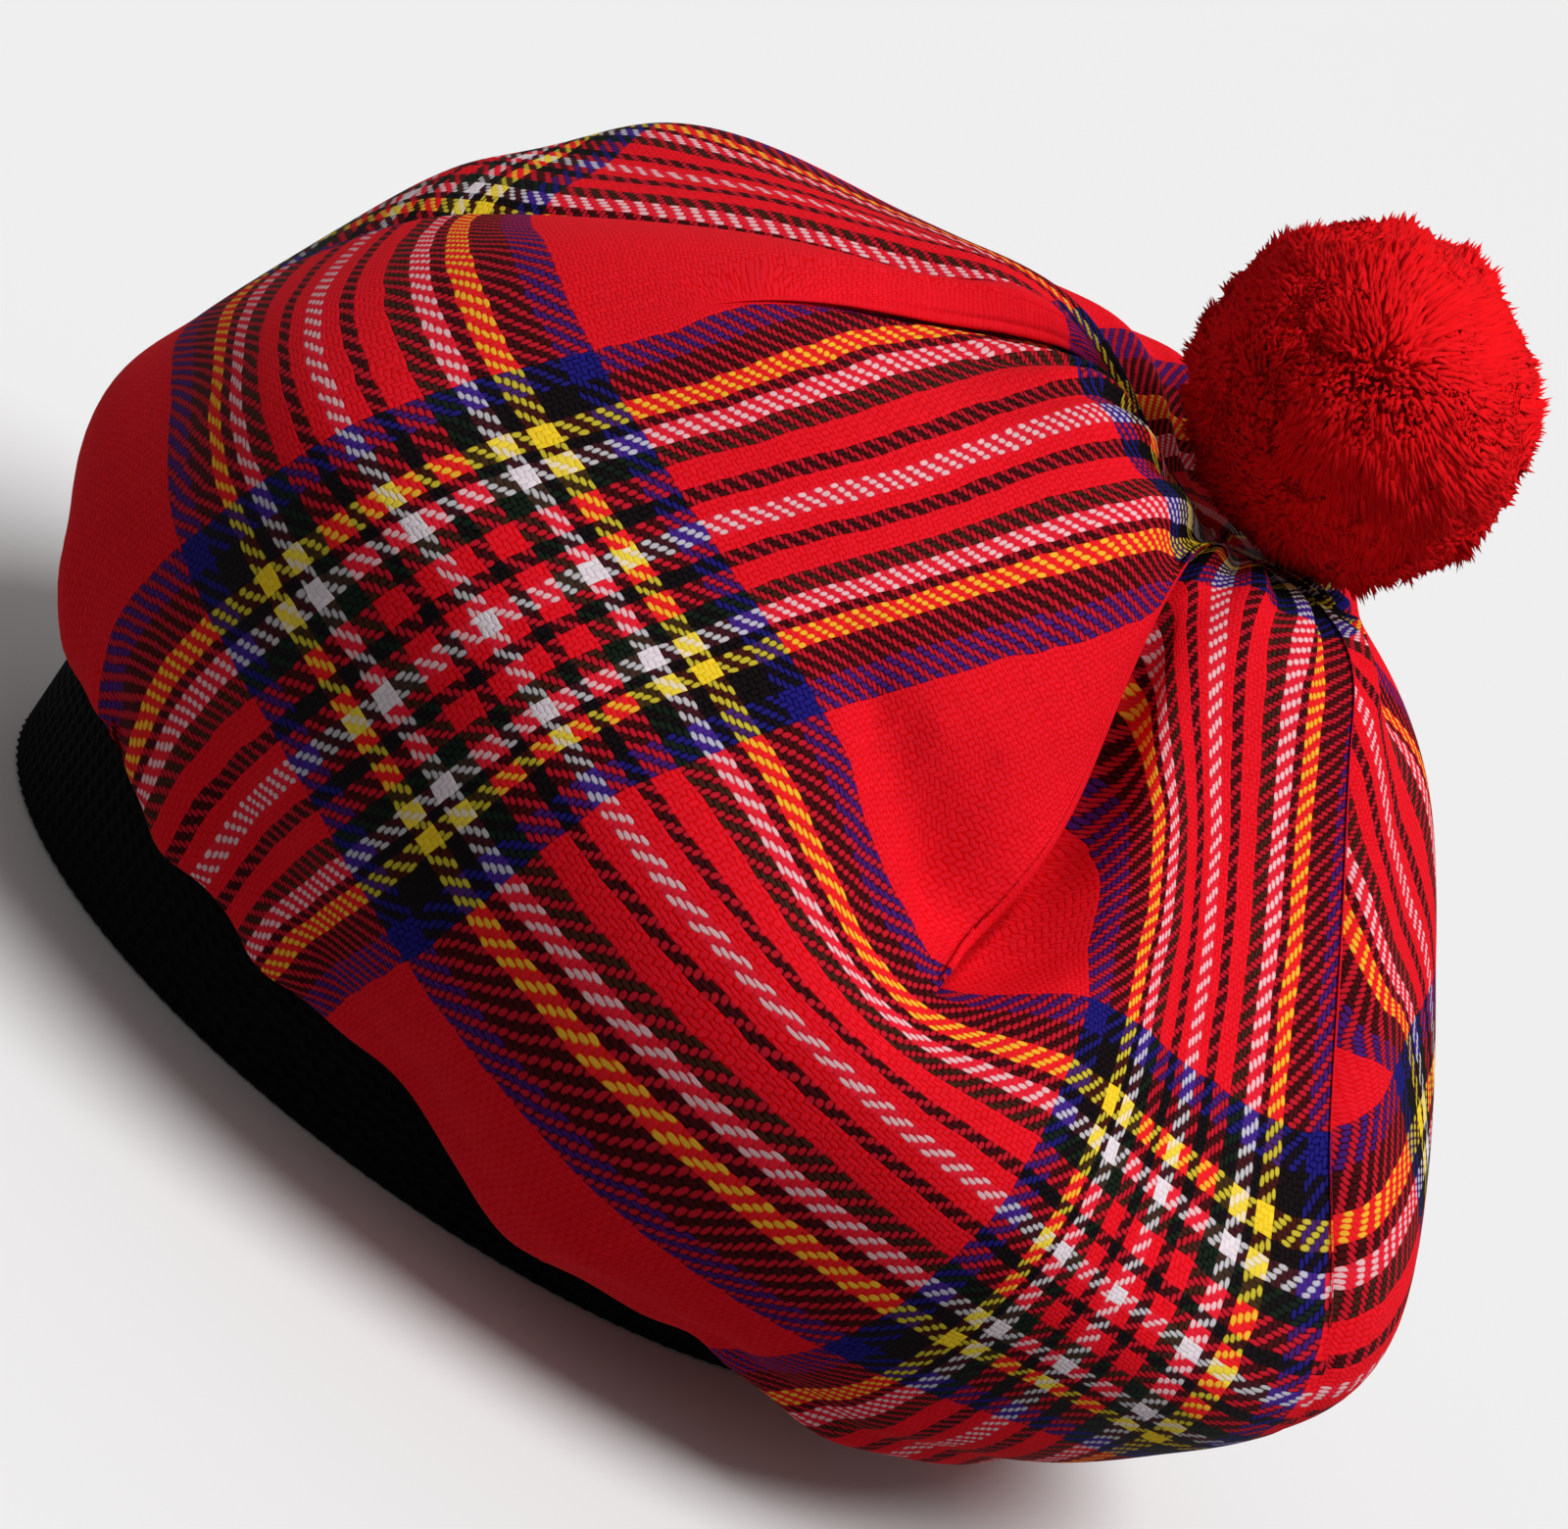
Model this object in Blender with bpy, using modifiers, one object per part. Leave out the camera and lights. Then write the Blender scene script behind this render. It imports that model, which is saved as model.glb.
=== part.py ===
"""Tam o' shanter: a gathered tartan crown on a ribbed knit headband, with a wool pompom.

Run with: blender --background --python part.py, or from Blender's text editor.
The origin is on the floor, under the middle of the hat. +X is the side that the crown droops to,
-Y is the front of the hat and +Z is up. The headband stands on the floor with its mouth open below.
"""

import bpy
import bmesh
import numpy as np
from mathutils import Vector

MM = 0.001  # the sizes below are in millimetres

# ---------------------------------------------------------------- headband
BAND_AT = (-19.3, 13.1)  # the band's middle, seen from above
BAND_HALF_LENGTH = 94.0  # outside, along X
BAND_HALF_WIDTH = 80.0  # outside, along Y
BAND_HEIGHT = 36.0
BAND_WALL = 4.0  # ribbed knit, folded double
BAND_ROUND = 1.2  # radius of the soft edges
BAND_COLUMNS = 72

# ---------------------------------------------------------------- cloth
CLOTH_WALL = 1.8
SEAM_OUT = -1.0  # the cloth's edge lies on the band's top, this far out from the band's side
SEAM_LIFT = 2.3  # its outer face stands this far above the band
SHOULDER_OUT = 3.2  # where it turns down, clear of the band's side
SHOULDER_LIFT = 0.3
NECK_REACH = 16.0  # the drawn-in cloth under the pompom
NECK_HEIGHT = 149.0
THROAT_REACH = 4.0
THROAT_HEIGHT = 147.0
THREADS_ROUND = 780

# The cloth is THREADS_ROUND threads round, five repeats of the tartan, 0.93 mm from one to the next. Rows
# are counted up the cloth in the same steps, and row 0 is the middle of the tartan's lower stripe. These
# rows shape the crown, from the seam up to the gather. x and y are the ring's middle, counted from the
# band's middle.
RINGS = (
    # name,      row,   x,    y
    ("seam",     -104,   0,    0),
    ("shoulder",  -99,   0,    0),
    ("under",     -86,   4,   -4),
    ("hem",       -66,   8,   -7),
    ("low",       -39,  15,  -10),
    ("rim",         0,  21,  -14),
    ("high",       39,  28,  -12),
    ("slope",      78,  38,   -7),
    ("collar",    117,  46,   -2),
    ("neck",      142,  50,   -3),
    ("throat",    160,  50,   -3),
)

TURN_ROWS = (-104, -66, 0, 39, 78, 117, 160)  # the rows where the sections' turns hold

# Sections down the crown, one for each direction round it. thread counts round the cloth from the
# left-hand upright stripe. turn is the direction in degrees from -Y towards +X. reach is counted from
# the ring's middle and height from the floor.
SECTIONS = (
    # thread; turn at hem, rim, high, slope, collar; reach and height at under, hem, low, rim, high, slope,
    # collar
    (  0, -113, -111, -109, -108, -106,  100, 30, 110, 60, 119, 88, 117, 115, 101, 129,  75, 146,  40, 155),
    ( 50,  -93,  -95,  -94,  -92,  -90,  102, 31, 120, 54, 123, 75, 112, 105,  98, 122,  74, 142,  40, 159),
    ( 90,  -76,  -72,  -76,  -78,  -85,  100, 29, 115, 47, 117, 72, 112,  99,  93, 126,  72, 144,  37, 158),
    (112,  -61,  -56,  -60,  -65,  -80,   97, 27, 108, 43, 115, 66, 112,  98,  89, 125,  72, 143,  34, 157),
    (156,  -35,  -29,  -29,  -29,  -33,   90, 24,  96, 38, 108, 57, 109,  95,  88, 120,  68, 139,  37, 157),
    (205,  -10,   -8,   -7,   -8,  -10,   89, 23,  97, 30, 109, 48, 109,  85,  90, 111,  71, 128,  35, 150),
    (243,   14,   16,   16,   15,    2,   92, 18, 102, 22, 112, 40, 112,  75,  91,  91,  62, 114,  36, 146),
    (273,   29,   29,   29,   24,    7,  102, 19, 112, 24, 118, 39, 118,  72,  92,  98,  65, 119,  35, 147),
    (312,   45,   41,   43,   36,   14,  113, 19, 122, 26, 124, 40, 122,  67,  93,  94,  62, 119,  34, 148),
    (356,   70,   70,   65,   64,   56,  104, 17, 115, 21, 122, 32, 127,  55,  97,  89,  61, 121,  32, 145),
    (404,   88,   87,   86,   85,   82,   96, 17, 110, 22, 121, 35, 129,  61,  93, 100,  60, 124,  27, 143),
    (468,  108,  101,  102,  103,  104,   97, 19, 104, 25, 118, 42, 125,  70,  96, 107,  64, 129,  27, 143),
    (546,  140,  136,  137,  139,  140,   93, 22, 100, 31, 110, 52, 112,  80,  92, 112,  64, 135,  33, 148),
    (624,  176,  177,  177,  176,  176,   91, 24, 100, 36, 108, 62, 106,  94,  92, 122,  70, 142,  36, 152),
    (702,  212,  214,  213,  213,  212,   94, 28, 104, 48, 112, 76, 112, 108, 106, 135,  78, 147,  40, 155),
    (750,  234,  236,  237,  239,  240,   97, 29, 107, 56, 116, 84, 117, 117, 112, 137,  80, 149,  42, 155),
)

# Folds run up the crown along a section and deepen towards the collar. foot is the row where one
# starts. left and right are how far the cloth puffs out beside it, and spread is how wide.
FOLDS = (
    # thread, foot, left, right, spread
    (50,     -20,    3,    2,    12),
    (112,     55,    3,    1,    10),
    (243,     30,    5,    2,    16),
    (356,    -25,    1,    5,    13),
    (546,     35,    4,    4,    15),
    (624,     60,    3,    3,    14),
)
FOLD_OPENS_OVER = 60  # rows from a fold's foot to its full depth
FOLD_ENDS = (100, 140)  # the rows over which it closes again under the pompom

# Hollows pressed into the cloth. thread and row are a hollow's middle, and wide and tall its reach in
# threads.
DENTS = (
    # thread, row, depth, wide, tall
    (55,      101,    5,    32,   13),
    (125,     101,    5,    45,   15),
    (242,      51,    7,    36,    9),
    (485,     100,    7,    45,   15),
    (212,     -74,    3,     9,   12),
)

# Small ridges where the cloth is drawn in under the pompom
GATHERS = 20
GATHER_DEPTH = 1.1
GATHER_OPENS = (92, 120)
GATHER_ENDS = (130, 155)

CROWN_STEPS = 5  # columns between two sections
CROWN_ROWS = (-104, -99, -93, -86, -76, -66, -53, -39, -20, 0, 20, 39, 58, 78, 92, 105, 117, 130, 142, 160)

# ---------------------------------------------------------------- pompom
POMPOM_AT = (56.0, -8.0, 179.0)  # from the band's middle
POMPOM_LOCKS = 100
LOCK_TIP = 31.6  # how far a lock's tip is from the middle, before the tips are softened
LOCK_VALLEY = 26.0  # and the hollow between three locks
LOCK_UNEVEN = 0.9  # how much longer or shorter a lock may be
LOCK_RHYTHM = 2.3  # radians from one lock to the next in that unevenness
POMPOM_FLAT = 150.6  # the height of the flat that rests over the gather


# ================================================================ curves
def ease(value, start, end):
    """0 up to start, 1 from end on, and a soft step between them."""
    part = np.clip((value - start) / (end - start), 0.0, 1.0)
    return part * part * (3.0 - 2.0 * part)


def smooth_curve(at, knots, values):
    """A smooth curve through the values at the knots, read at the places in at."""
    knots, values = np.asarray(knots, float), np.asarray(values, float)
    column = (slice(None),) + (None,) * (values.ndim - 1)
    gap = np.diff(knots)[column]
    slope = np.diff(values, axis=0) / gap
    tangent = np.empty_like(values)
    tangent[0], tangent[-1] = slope[0], slope[-1]
    tangent[1:-1] = (slope[:-1] * gap[1:] + slope[1:] * gap[:-1]) / (gap[1:] + gap[:-1])
    i = np.clip(np.searchsorted(knots, at, side="right") - 1, 0, len(knots) - 2)
    wide = (knots[i + 1] - knots[i])[column]
    u = ((np.asarray(at, float) - knots[i]) / (knots[i + 1] - knots[i]))[column]
    return (
        (1 + 2 * u) * (1 - u) ** 2 * values[i]
        + u * (1 - u) ** 2 * wide * tangent[i]
        + u * u * (3 - 2 * u) * values[i + 1]
        + u * u * (u - 1) * wide * tangent[i + 1]
    )


# ================================================================ crown
def band_reach(turn, out):
    """The reach, towards turn in degrees, of an oval that lies out millimetres outside the band."""
    a = BAND_HALF_LENGTH + out
    b = BAND_HALF_WIDTH + out
    angle = np.radians(turn)
    return a * b / np.hypot(b * np.sin(angle), a * np.cos(angle))


def shape_at(rows):
    """The ring's middle, and each section's turn, reach and height, at each row of thread."""
    ring_rows = [ring[1] for ring in RINGS]
    middle = smooth_curve(rows, ring_rows, [ring[2:] for ring in RINGS])
    turns = np.array([[s[1], *s[1:6], s[5]] for s in SECTIONS], float).T
    foot = [[band_reach(s[1], SEAM_OUT), band_reach(s[1], SHOULDER_OUT)] for s in SECTIONS]
    reach = np.array([[*foot[k], *s[6::2], NECK_REACH, THROAT_REACH] for k, s in enumerate(SECTIONS)]).T
    lift = [BAND_HEIGHT + SEAM_LIFT, BAND_HEIGHT + SHOULDER_LIFT]
    height = np.array([[*lift, *s[7::2], NECK_HEIGHT, THROAT_HEIGHT] for s in SECTIONS]).T
    return (
        middle,
        smooth_curve(rows, TURN_ROWS, turns),
        smooth_curve(rows, ring_rows, reach),
        smooth_curve(rows, ring_rows, height),
    )


def all_round(values, turn_over=0.0):
    """A ring's values with two more at each end, taken from its far side."""
    return np.concatenate([values[-2:] - turn_over, values, values[:3] + turn_over])


def crown_grid(steps, rows):
    """The crown's outer face: one point for each row and each of steps columns between sections."""
    rows = np.asarray(rows, float)
    middle, turns, reach, height = shape_at(rows)
    column = np.arange(len(SECTIONS) * steps) / steps
    base = np.empty((len(rows), len(column), 3))
    puff = np.zeros((len(rows), len(column)))
    knots = np.arange(-2, len(SECTIONS) + 3)
    threads = all_round(np.array([s[0] for s in SECTIONS], float), THREADS_ROUND)
    number = smooth_curve(column, knots, threads)
    for i, row in enumerate(rows):
        turn = smooth_curve(column, knots, all_round(turns[i], 360.0))
        out = smooth_curve(turn, all_round(turns[i], 360.0), all_round(reach[i]))
        up = smooth_curve(turn, all_round(turns[i], 360.0), all_round(height[i]))
        angle = np.radians(turn)
        base[i, :, 0] = middle[i, 0] + out * np.sin(angle)
        base[i, :, 1] = middle[i, 1] - out * np.cos(angle)
        base[i, :, 2] = up
        for thread, foot, left, right, spread in FOLDS:
            k = [s[0] for s in SECTIONS].index(thread)
            away = np.radians((turn - turns[i, k] + 180.0) % 360.0 - 180.0) * out / spread
            side = np.where(away < 0, left, right)
            depth = ease(row, foot, foot + FOLD_OPENS_OVER) * (1 - ease(row, *FOLD_ENDS))
            puff[i] += depth * side * np.abs(away) * np.exp(1 - np.abs(away))
        for thread, middle_row, deep, wide, tall in DENTS:
            aside, above = (number - thread) / wide, (row - middle_row) / tall
            puff[i] -= deep * np.exp(-(aside**2) - above**2)
        gather = GATHER_DEPTH * ease(row, *GATHER_OPENS) * (1 - ease(row, *GATHER_ENDS))
        puff[i] += gather * np.sin(GATHERS * angle)
    return base + face_normals(base) * puff[..., None]


def face_normals(grid):
    """The way out of the cloth at each point of a grid that closes round."""
    around = np.roll(grid, -1, axis=1) - np.roll(grid, 1, axis=1)
    upward = np.gradient(grid, axis=0)
    normal = np.cross(around, upward)
    return normal / np.linalg.norm(normal, axis=2, keepdims=True)


# ================================================================ building
def start_clean():
    for item in list(bpy.data.objects):
        bpy.data.objects.remove(item, do_unlink=True)


def material(name, colour, roughness):
    """A Principled material with one colour, roughness and no metal."""
    made = bpy.data.materials.new(name)
    made.use_nodes = True
    shader = made.node_tree.nodes["Principled BSDF"]
    shader.inputs["Base Color"].default_value = (*colour, 1.0)
    shader.inputs["Roughness"].default_value = roughness
    shader.inputs["Metallic"].default_value = 0.0
    return made


def add_object(name, mesh_data, collection, surface):
    """A mesh made from a bmesh, as a smooth object with its material, about the band's middle."""
    bmesh.ops.recalc_face_normals(mesh_data, faces=mesh_data.faces)
    bmesh.ops.scale(mesh_data, vec=Vector((MM, MM, MM)), verts=mesh_data.verts)
    bmesh.ops.translate(mesh_data, vec=Vector((BAND_AT[0] * MM, BAND_AT[1] * MM, 0)), verts=mesh_data.verts)
    mesh = bpy.data.meshes.new(name)
    mesh_data.to_mesh(mesh)
    mesh_data.free()
    mesh.shade_smooth()
    mesh.materials.append(surface)
    made = bpy.data.objects.new(name, mesh)
    collection.objects.link(made)
    return made


def loft(rings, close_rings=False):
    """A bmesh of quads between rings of points; close_rings joins the last ring to the first."""
    mesh_data = bmesh.new()
    made = [[mesh_data.verts.new(point) for point in ring] for ring in rings]
    pairs = list(zip(made, made[1:]))
    if close_rings:
        pairs.append((made[-1], made[0]))
    for lower, upper in pairs:
        for j in range(len(lower)):
            k = (j + 1) % len(lower)
            mesh_data.faces.new((lower[j], lower[k], upper[k], upper[j]))
    return mesh_data, made


def tartan_crown(collection):
    """The cloth bag: a tube of tartan, eased onto the band below and drawn in under the pompom."""
    mesh_data, rings = loft(crown_grid(CROWN_STEPS, CROWN_ROWS))
    mesh_data.faces.new(rings[-1])
    cloth = material("tartan_cloth", (0.60, 0.02, 0.03), 0.85)
    crown = add_object("tartan_crown", mesh_data, collection, cloth)
    wall = crown.modifiers.new("wall", "SOLIDIFY")
    wall.thickness = CLOTH_WALL * MM
    wall.offset = -1.0
    wall.use_even_offset = False
    return crown


def rib_headband(collection):
    """The folded knit band: an oval ring with a flat foot and soft edges."""
    inner, outer = -BAND_WALL, 0.0
    foot, top, soft = 0.0, BAND_HEIGHT, BAND_ROUND
    profile = (
        (outer - soft, foot),
        (outer, foot + soft),
        (outer, top / 2),
        (outer, top - soft),
        (outer - soft, top),
        (inner + soft, top),
        (inner, top - soft),
        (inner, top / 2),
        (inner, foot + soft),
        (inner + soft, foot),
    )
    angle = np.arange(BAND_COLUMNS) * 2 * np.pi / BAND_COLUMNS
    rings = []
    for out, up in profile:
        x = (BAND_HALF_LENGTH + out) * np.sin(angle)
        y = -(BAND_HALF_WIDTH + out) * np.cos(angle)
        rings.append(np.stack([x, y, np.full_like(x, up)], axis=1))
    mesh_data, _ = loft(rings, close_rings=True)
    knit = material("rib_knit", (0.012, 0.010, 0.010), 0.95)
    return add_object("rib_headband", mesh_data, collection, knit)


def spread_over_ball(count):
    """Even directions over a ball, along a golden-angle spiral."""
    i = np.arange(count) + 0.5
    z = 1 - 2 * i / count
    turn = i * np.pi * (3 - np.sqrt(5))
    flat = np.sqrt(1 - z * z)
    return np.stack([flat * np.cos(turn), flat * np.sin(turn), z], axis=1)


def pompom(collection):
    """The pompom: wool locks that stand out of one round head, with a flat over the gather."""
    mesh_data = bmesh.new()
    for i, way in enumerate(spread_over_ball(POMPOM_LOCKS)):
        mesh_data.verts.new(way * (LOCK_TIP + LOCK_UNEVEN * np.sin(LOCK_RHYTHM * i)))
    bmesh.ops.convex_hull(mesh_data, input=mesh_data.verts)
    for valley in bmesh.ops.poke(mesh_data, faces=mesh_data.faces)["verts"]:
        valley.co = valley.co.normalized() * LOCK_VALLEY
    for vert in mesh_data.verts:
        vert.co += Vector(POMPOM_AT)
        vert.co.z = max(vert.co.z, POMPOM_FLAT)
    wool = material("pompom_wool", (0.62, 0.01, 0.01), 0.95)
    ball = add_object("pompom", mesh_data, collection, wool)
    soft = ball.modifiers.new("soft_locks", "SUBSURF")
    soft.levels = 1
    soft.render_levels = 1
    return ball


def main():
    start_clean()
    collection = bpy.data.collections.new("tam_o_shanter")
    bpy.context.scene.collection.children.link(collection)
    tartan_crown(collection)
    rib_headband(collection)
    pompom(collection)


main()
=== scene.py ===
# %% [markdown]
# # Tam o' shanter
# A tartan bag gathered under a wool pompom, sewn to a black ribbed band. The construction is fixed in
# a packed model that this lesson loads first. Its three soft parts are plain there, so each one is made
# again here as a fine mesh with its own material, in the same place and to the same size.
#
# This first cell loads the model and keeps its parts by name.

# %% Load the frame
import bpy
import numpy as np
from mathutils import Matrix, Vector


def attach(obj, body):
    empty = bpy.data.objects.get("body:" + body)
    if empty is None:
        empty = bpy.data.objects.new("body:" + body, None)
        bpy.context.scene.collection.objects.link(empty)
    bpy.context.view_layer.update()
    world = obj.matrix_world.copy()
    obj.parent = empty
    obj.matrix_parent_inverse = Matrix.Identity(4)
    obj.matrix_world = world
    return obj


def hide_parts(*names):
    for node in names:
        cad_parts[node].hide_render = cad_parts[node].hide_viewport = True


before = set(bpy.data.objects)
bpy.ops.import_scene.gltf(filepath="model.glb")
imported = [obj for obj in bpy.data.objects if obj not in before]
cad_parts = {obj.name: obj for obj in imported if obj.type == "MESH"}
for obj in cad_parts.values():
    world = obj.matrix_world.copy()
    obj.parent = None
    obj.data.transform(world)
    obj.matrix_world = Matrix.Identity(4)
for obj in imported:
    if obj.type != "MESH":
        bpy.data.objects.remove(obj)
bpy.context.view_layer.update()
MM = 0.001  # sizes below are in millimetres, and meshes are made in metres

# %% [markdown]
# ## Camera
# The hat was photographed from a little above, with the camera leaning over to one side. A camera is
# easiest to aim with its own three axes: which way is right, which way is up and which way is back.
# Leaning the camera turns the first two about the third.

# %% Camera
CAMERA_AT = (-4.2, -809.8, 322.3)
LOOK_DOWN = np.radians(17.0)
LEAN = np.radians(36.0)
LENS = 118.06  # on a sensor 36 mm wide

level = np.array([1.0, 0.0, 0.0])
upward = np.array([0.0, np.sin(LOOK_DOWN), np.cos(LOOK_DOWN)])
back = np.array([0.0, -np.cos(LOOK_DOWN), np.sin(LOOK_DOWN)])
right = np.cos(LEAN) * level + np.sin(LEAN) * upward
up = -np.sin(LEAN) * level + np.cos(LEAN) * upward

camera_data = bpy.data.cameras.new("camera")
camera_data.lens = LENS
camera_data.sensor_width = 36.0
camera_data.clip_start = 0.05
camera = bpy.data.objects.new("camera", camera_data)
axes = Matrix([right, up, back]).transposed().to_4x4()
camera.matrix_world = Matrix.Translation(Vector(CAMERA_AT) * MM) @ axes
bpy.context.scene.collection.objects.link(camera)
bpy.context.scene.camera = camera
print("camera is", round(Vector(CAMERA_AT).length), "mm from the origin")

# %% [markdown]
# ## Floor and light
# The hat was photographed on white in soft light. A lamp close by would leave one bright patch on the
# floor, so one far, wide lamp is used. It stands above, to the right and a little in front, so the
# crown is bright on top and darker below, and a weak second lamp lifts the far side. The pale floor is
# a stage only: it throws no light back, because the photograph's undersides are dark. The plain
# Standard view keeps the strong reds as they are.

# %% Floor and light
def principled(name, colour=(0.8, 0.8, 0.8), roughness=0.8):
    """A new material with its Principled shader."""
    made = bpy.data.materials.new(name)
    made.use_nodes = True
    shader = made.node_tree.nodes["Principled BSDF"]
    shader.inputs["Base Color"].default_value = (*colour, 1.0)
    shader.inputs["Roughness"].default_value = roughness
    return made, shader


def soft_sun(name, towards, strength, width):
    """A far lamp, so wide in degrees, that shines on the hat from a place in that direction."""
    data = bpy.data.lights.new(name, "SUN")
    data.energy = strength
    data.angle = np.radians(width)
    lamp = bpy.data.objects.new(name, data)
    lamp.rotation_euler = (-Vector(towards)).to_track_quat("-Z", "Y").to_euler()
    bpy.context.scene.collection.objects.link(lamp)
    return lamp


bpy.ops.mesh.primitive_plane_add(size=60.0, location=(0.0, 0.0, 0.0))
floor = bpy.context.object
floor.name = "floor"
floor.data.materials.append(principled("pale_floor", (0.74, 0.74, 0.74), 0.9)[0])
floor.visible_diffuse = False  # it takes light but throws none back up

soft_sun("key_lamp", (0.40, -0.20, 0.89), 3.15, 30.0)
soft_sun("back_lamp", (-0.3, 0.8, 0.5), 0.2, 60.0)

world = bpy.data.worlds.new("studio")
world.use_nodes = True
world.node_tree.nodes["Background"].inputs["Color"].default_value = (1.0, 1.0, 1.0, 1.0)
world.node_tree.nodes["Background"].inputs["Strength"].default_value = 0.25
bpy.context.scene.world = world
bpy.context.scene.view_settings.view_transform = "Standard"

# %% [markdown]
# ## Curves through a few values
# The crown is described by short tables, one row for each section of the cloth. Two helpers turn them
# into smooth surfaces: a soft step, and a smooth curve that passes through the values at its knots.

# %% Curve helpers
def ease(value, start, end):
    """0 up to start, 1 from end on, and a soft step between them."""
    part = np.clip((value - start) / (end - start), 0.0, 1.0)
    return part * part * (3.0 - 2.0 * part)


def smooth_curve(at, knots, values):
    """A smooth curve through the values at the knots, read at the places in at."""
    knots, values = np.asarray(knots, float), np.asarray(values, float)
    column = (slice(None),) + (None,) * (values.ndim - 1)
    gap = np.diff(knots)[column]
    slope = np.diff(values, axis=0) / gap
    tangent = np.empty_like(values)
    tangent[0], tangent[-1] = slope[0], slope[-1]
    tangent[1:-1] = (slope[:-1] * gap[1:] + slope[1:] * gap[:-1]) / (gap[1:] + gap[:-1])
    i = np.clip(np.searchsorted(knots, at, side="right") - 1, 0, len(knots) - 2)
    wide = (knots[i + 1] - knots[i])[column]
    u = ((np.asarray(at, float) - knots[i]) / (knots[i + 1] - knots[i]))[column]
    return (
        (1 + 2 * u) * (1 - u) ** 2 * values[i]
        + u * (1 - u) ** 2 * wide * tangent[i]
        + u * u * (3 - 2 * u) * values[i + 1]
        + u * u * (u - 1) * wide * tangent[i + 1]
    )


print("half way up a soft step:", ease(0.5, 0.0, 1.0))

# %% [markdown]
# ## The crown's form
# The cloth is a tube, 780 upright threads round. Up it, places are counted in rows: a row is as high as
# an upright thread is wide, 0.93 mm, and there are 264 of them. The lower edge is eased onto the band
# and the upper edge is drawn in under the pompom. The cloth could be draped by a solver, but then its
# folds would fall where they liked. These tables are the ones that the model was built from: rings from
# the seam to the throat, and sections that run down the cloth. Sizes are in millimetres, turns in
# degrees.

# %% Crown tables
BAND_AT = (-19.3, 13.1)
BAND_HALF_LENGTH = 94.0
BAND_HALF_WIDTH = 80.0
BAND_HEIGHT = 36.0
BAND_WALL = 4.0
SEAM_OUT = -1.0
SEAM_LIFT = 2.3
SHOULDER_OUT = 3.2
SHOULDER_LIFT = 0.3
NECK_REACH = 16.0
NECK_HEIGHT = 149.0
THROAT_REACH = 4.0
THROAT_HEIGHT = 147.0
THREADS_ROUND = 780
SEAM_ROW, THROAT_ROW = -104, 160

RINGS = (
    # name,      row,   x,    y
    ("seam",     -104,   0,    0),
    ("shoulder",  -99,   0,    0),
    ("under",     -86,   4,   -4),
    ("hem",       -66,   8,   -7),
    ("low",       -39,  15,  -10),
    ("rim",         0,  21,  -14),
    ("high",       39,  28,  -12),
    ("slope",      78,  38,   -7),
    ("collar",    117,  46,   -2),
    ("neck",      142,  50,   -3),
    ("throat",    160,  50,   -3),
)
TURN_ROWS = (-104, -66, 0, 39, 78, 117, 160)
SECTIONS = (
    # thread; turn at hem, rim, high, slope, collar;
    # then reach and height at under, hem, low, rim, high, slope, collar
    (  0, -113, -111, -109, -108, -106,  100, 30, 110, 60, 119, 88, 117, 115, 101, 129,  75, 146,  40, 155),
    ( 50,  -93,  -95,  -94,  -92,  -90,  102, 31, 120, 54, 123, 75, 112, 105,  98, 122,  74, 142,  40, 159),
    ( 90,  -76,  -72,  -76,  -78,  -85,  100, 29, 115, 47, 117, 72, 112,  99,  93, 126,  72, 144,  37, 158),
    (112,  -61,  -56,  -60,  -65,  -80,   97, 27, 108, 43, 115, 66, 112,  98,  89, 125,  72, 143,  34, 157),
    (156,  -35,  -29,  -29,  -29,  -33,   90, 24,  96, 38, 108, 57, 109,  95,  88, 120,  68, 139,  37, 157),
    (205,  -10,   -8,   -7,   -8,  -10,   89, 23,  97, 30, 109, 48, 109,  85,  90, 111,  71, 128,  35, 150),
    (243,   14,   16,   16,   15,    2,   92, 18, 102, 22, 112, 40, 112,  75,  91,  91,  62, 114,  36, 146),
    (273,   29,   29,   29,   24,    7,  102, 19, 112, 24, 118, 39, 118,  72,  92,  98,  65, 119,  35, 147),
    (312,   45,   41,   43,   36,   14,  113, 19, 122, 26, 124, 40, 122,  67,  93,  94,  62, 119,  34, 148),
    (356,   70,   70,   65,   64,   56,  104, 17, 115, 21, 122, 32, 127,  55,  97,  89,  61, 121,  32, 145),
    (404,   88,   87,   86,   85,   82,   96, 17, 110, 22, 121, 35, 129,  61,  93, 100,  60, 124,  27, 143),
    (468,  108,  101,  102,  103,  104,   97, 19, 104, 25, 118, 42, 125,  70,  96, 107,  64, 129,  27, 143),
    (546,  140,  136,  137,  139,  140,   93, 22, 100, 31, 110, 52, 112,  80,  92, 112,  64, 135,  33, 148),
    (624,  176,  177,  177,  176,  176,   91, 24, 100, 36, 108, 62, 106,  94,  92, 122,  70, 142,  36, 152),
    (702,  212,  214,  213,  213,  212,   94, 28, 104, 48, 112, 76, 112, 108, 106, 135,  78, 147,  40, 155),
    (750,  234,  236,  237,  239,  240,   97, 29, 107, 56, 116, 84, 117, 117, 112, 137,  80, 149,  42, 155),
)
FOLDS = (
    # thread, foot, left, right, spread
    (50,     -20,    3,    2,    12),
    (112,     55,    3,    1,    10),
    (243,     30,    5,    2,    16),
    (356,    -25,    1,    5,    13),
    (546,     35,    4,    4,    15),
    (624,     60,    3,    3,    14),
)
DENTS = (
    # thread, row, depth, wide, tall
    (55,      101,    5,    32,   13),
    (125,     101,    5,    45,   15),
    (242,      51,    7,    36,    9),
    (485,     100,    7,    45,   15),
    (212,     -74,    3,     9,   12),
)
FOLD_OPENS_OVER = 60  # rows from a fold's foot to where it is fully open
FOLD_ENDS = (100, 140)  # rows over which the folds close again at the gather
GATHERS = 20
GATHER_DEPTH = 1.1
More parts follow.
